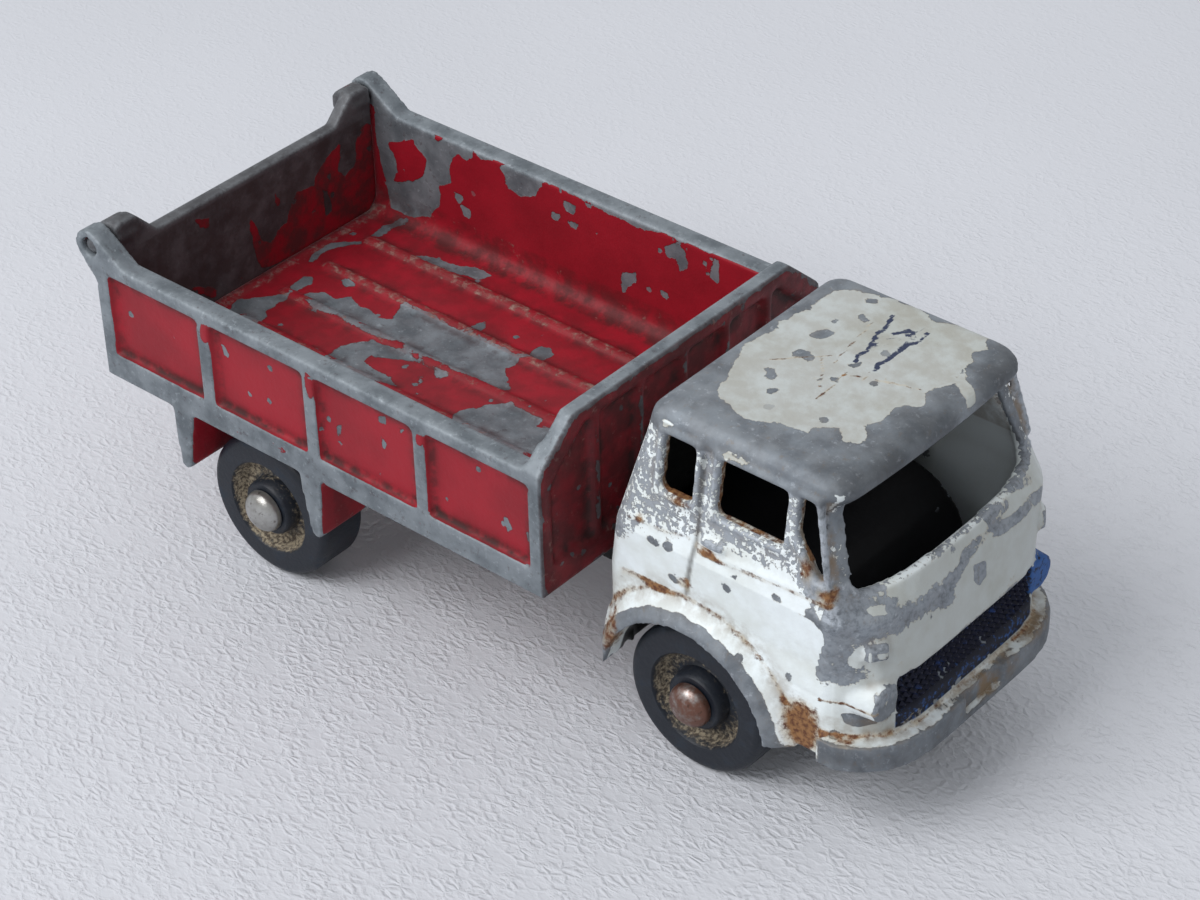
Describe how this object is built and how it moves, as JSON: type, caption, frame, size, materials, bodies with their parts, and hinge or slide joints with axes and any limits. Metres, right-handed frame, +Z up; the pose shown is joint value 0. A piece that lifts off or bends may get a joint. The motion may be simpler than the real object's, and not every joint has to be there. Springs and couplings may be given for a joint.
{
  "type": "toy dump truck",
  "caption": "Play-worn die-cast toy tipper truck: hollow windowed cab on a chassis, open bed that tips on a hinge pin, swinging tailgate, wheels turning on riveted axles.",
  "frame": {"origin": "centre of the bounding box, on the ground under the wheels", "axes": "+X towards the nose, +Y to the truck's left, +Z up"},
  "size_m": [0.0645, 0.0276, 0.0259],
  "materials": {
    "cab_paint": "chipped white enamel over cast zinc",
    "bed_paint": "chipped red enamel over cast zinc",
    "chassis_paint": "worn satin black enamel",
    "steel": "tarnished",
    "wheel_plastic": "satin moulded"
  },
  "bodies": {
    "chassis": {"chassis": "chassis_paint", "cab": "cab_paint", "front_axle": "steel", "rear_axle": "steel", "bed_hinge_pin": "steel"},
    "bed": {"tipper_bed": "bed_paint"},
    "tailgate": {"tailgate": "bed_paint"},
    "front_left_wheel": {"front_left_wheel": "wheel_plastic"},
    "front_right_wheel": {"front_right_wheel": "wheel_plastic"},
    "rear_left_wheel": {"rear_left_wheel": "wheel_plastic"},
    "rear_right_wheel": {"rear_right_wheel": "wheel_plastic"}
  },
  "joints": [
    {"name": "bed_tip", "type": "hinge", "parent": "chassis", "child": "bed", "pos_m": [-0.0267, 0, 0.00965], "axis": [0, -1, 0], "range_deg": [0, 50]},
    {"name": "tailgate_swing", "type": "hinge", "parent": "bed", "child": "tailgate", "pos_m": [-0.031, 0, 0.02135], "axis": [0, 1, 0], "range_deg": [0, 80]},
    {"name": "front_left_spin", "type": "hinge", "parent": "chassis", "child": "front_left_wheel", "pos_m": [0.0175, 0.0079, 0.00526], "axis": [0, 1, 0], "continuous": true},
    {"name": "front_right_spin", "type": "hinge", "parent": "chassis", "child": "front_right_wheel", "pos_m": [0.0175, -0.0079, 0.00526], "axis": [0, 1, 0], "continuous": true},
    {"name": "rear_left_spin", "type": "hinge", "parent": "chassis", "child": "rear_left_wheel", "pos_m": [-0.0174, 0.0104, 0.00526], "axis": [0, 1, 0], "continuous": true},
    {"name": "rear_right_spin", "type": "hinge", "parent": "chassis", "child": "rear_right_wheel", "pos_m": [-0.0174, -0.0104, 0.00526], "axis": [0, 1, 0], "continuous": true}
  ]
}
